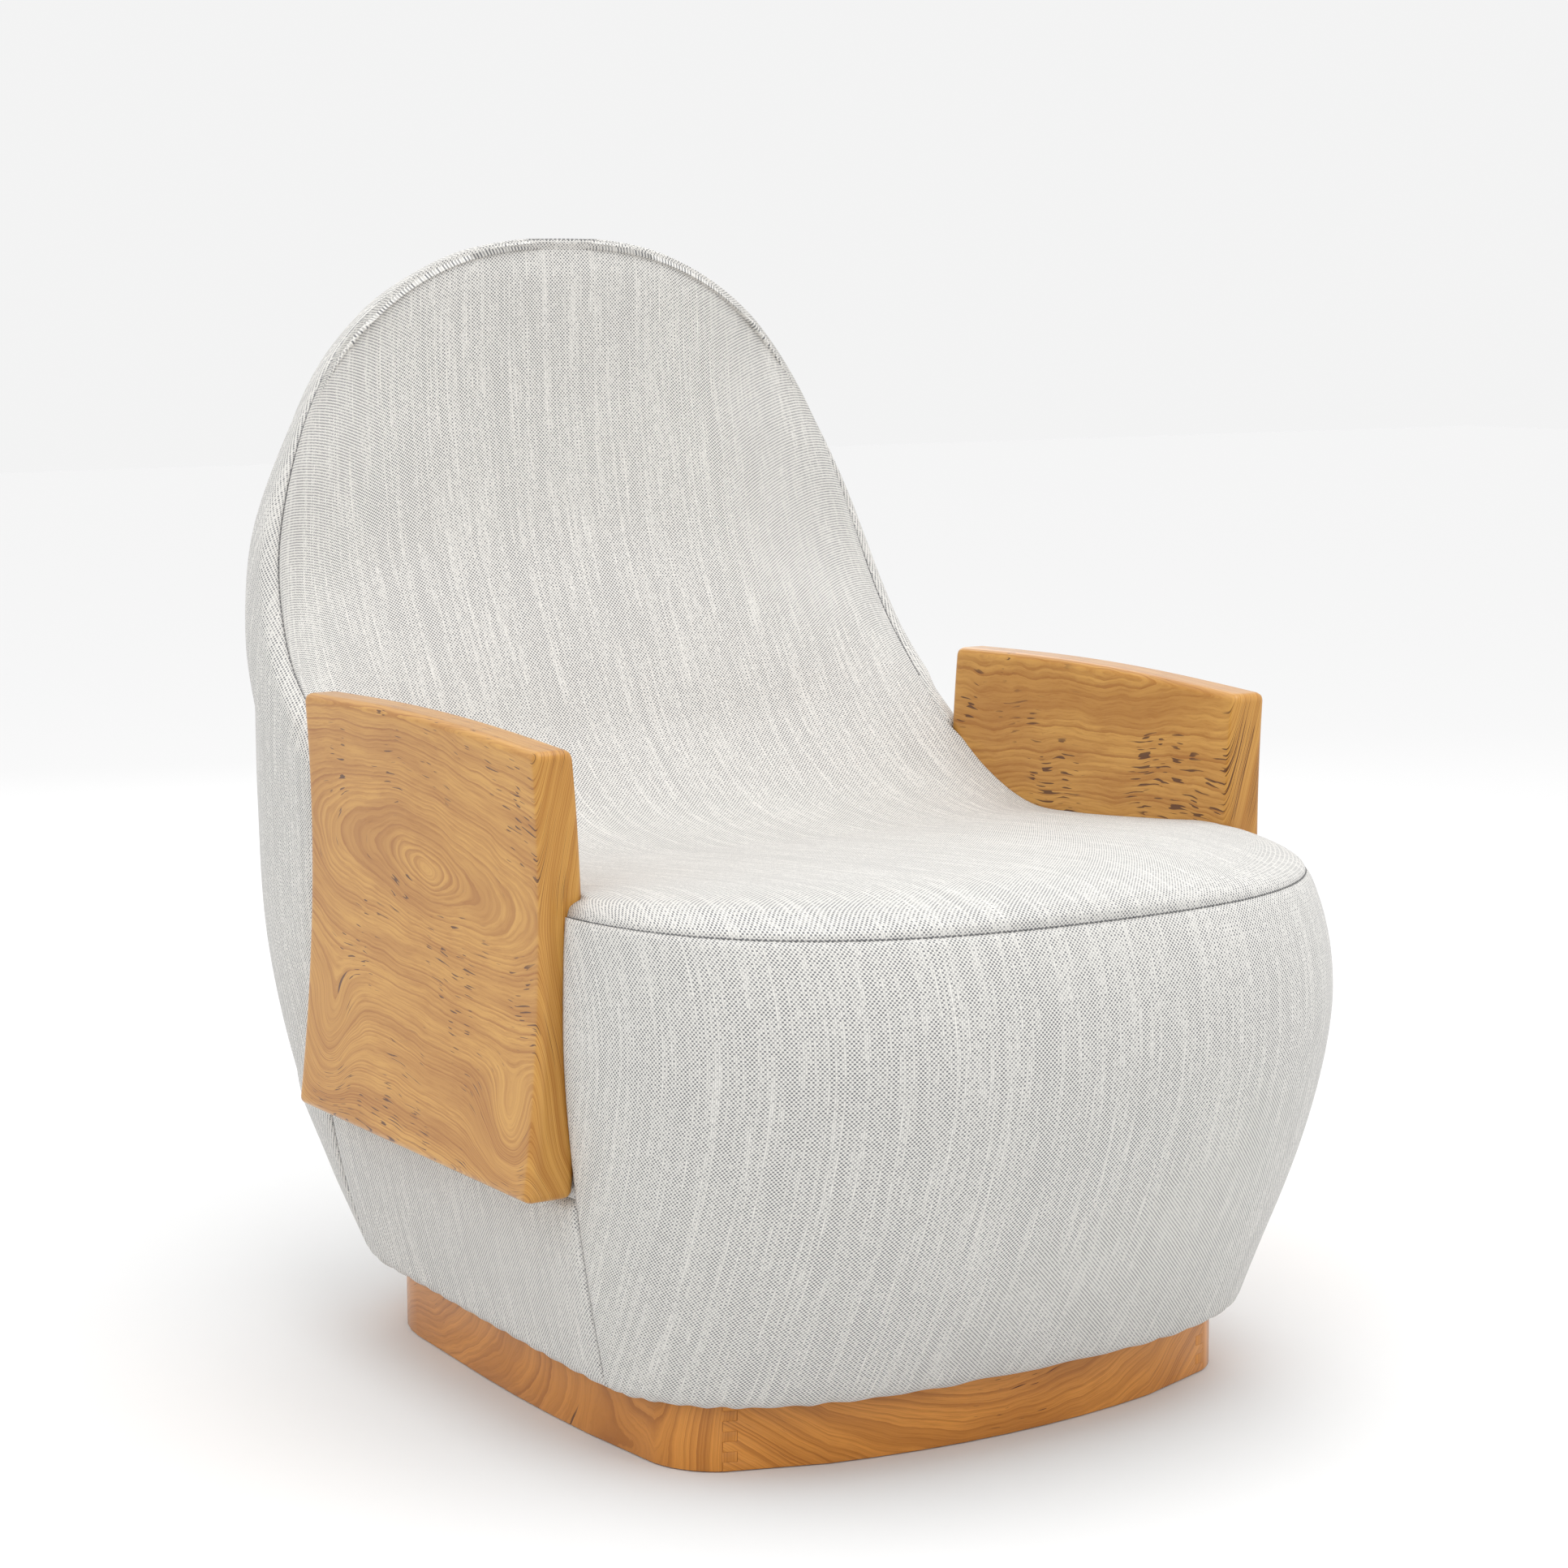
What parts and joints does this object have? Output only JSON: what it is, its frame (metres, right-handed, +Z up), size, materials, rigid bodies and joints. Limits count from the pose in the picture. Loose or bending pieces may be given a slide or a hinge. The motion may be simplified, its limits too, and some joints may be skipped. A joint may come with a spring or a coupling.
{
  "type": "rocking chair",
  "caption": "Upholstered tub chair with arched back and solid wood slab arms, rocking on a hidden shaft and springs above a flat wooden plinth.",
  "frame": {"origin": "on the floor, under the middle of the whole chair", "axes": "+Z up, -Y is the front that the sitter faces, +X is the right side seen from the front"},
  "size_m": [0.7448, 0.92, 0.966],
  "materials": {
    "oak": "clear lacquered honey-coloured solid wood",
    "upholstery": "light grey flecked plain weave",
    "lining": "black non-woven cloth",
    "webbing": "elastic webbing",
    "rubber": "matte black rubber",
    "felt": "dense felt",
    "nylon": "moulded nylon",
    "zinc_plated_steel": "zinc plated",
    "cast_iron": "painted casting",
    "black_steel": "black powder coat",
    "spring_steel": "oiled steel",
    "birch_plywood": "sanded plywood"
  },
  "bodies": {
    "base": {"plinth_front": "oak", "plinth_rear": "oak", "plinth_left": "oak", "plinth_right": "oak", "corner_blocks": "birch_plywood", "base_rail_left": "birch_plywood", "base_rail_right": "birch_plywood", "bearing_block_left": "cast_iron", "bearing_block_right": "cast_iron", "pivot_bushes": "nylon", "spring_seats_lower": "nylon", "stop_buffers": "rubber", "base_screws": "zinc_plated_steel", "floor_glides": "felt", "rocker_springs": "spring_steel"},
    "seat": {"pivot_shaft": "spring_steel", "shaft_rings": "zinc_plated_steel", "rocker_clevis_left": "black_steel", "rocker_clevis_right": "black_steel", "spring_seats_upper": "nylon", "seat_beam_left": "birch_plywood", "seat_beam_right": "birch_plywood", "skirt_front": "birch_plywood", "skirt_rear": "birch_plywood", "skirt_left": "birch_plywood", "skirt_right": "birch_plywood", "side_frame_left": "birch_plywood", "side_frame_right": "birch_plywood", "front_rail": "birch_plywood", "seat_rear_rail": "birch_plywood", "lumbar_rail": "birch_plywood", "top_rail": "birch_plywood", "seat_webbing": "webbing", "back_webbing": "webbing", "inner_panel": "upholstery", "front_panel": "upholstery", "side_panel_left": "upholstery", "side_panel_right": "upholstery", "outer_back_panel": "upholstery", "dust_cover": "lining", "arm_left": "oak", "arm_right": "oak", "arm_bolts": "zinc_plated_steel", "arm_inserts": "zinc_plated_steel"}
  },
  "joints": [
    {"name": "rocking", "type": "hinge", "parent": "base", "child": "seat", "pos_m": [0, 0.03, 0.095], "axis": [1, 0, 0], "range_deg": [-6, 5], "stiffness_Nm_per_rad": 900, "deforming": ["rocker_springs"]}
  ]
}
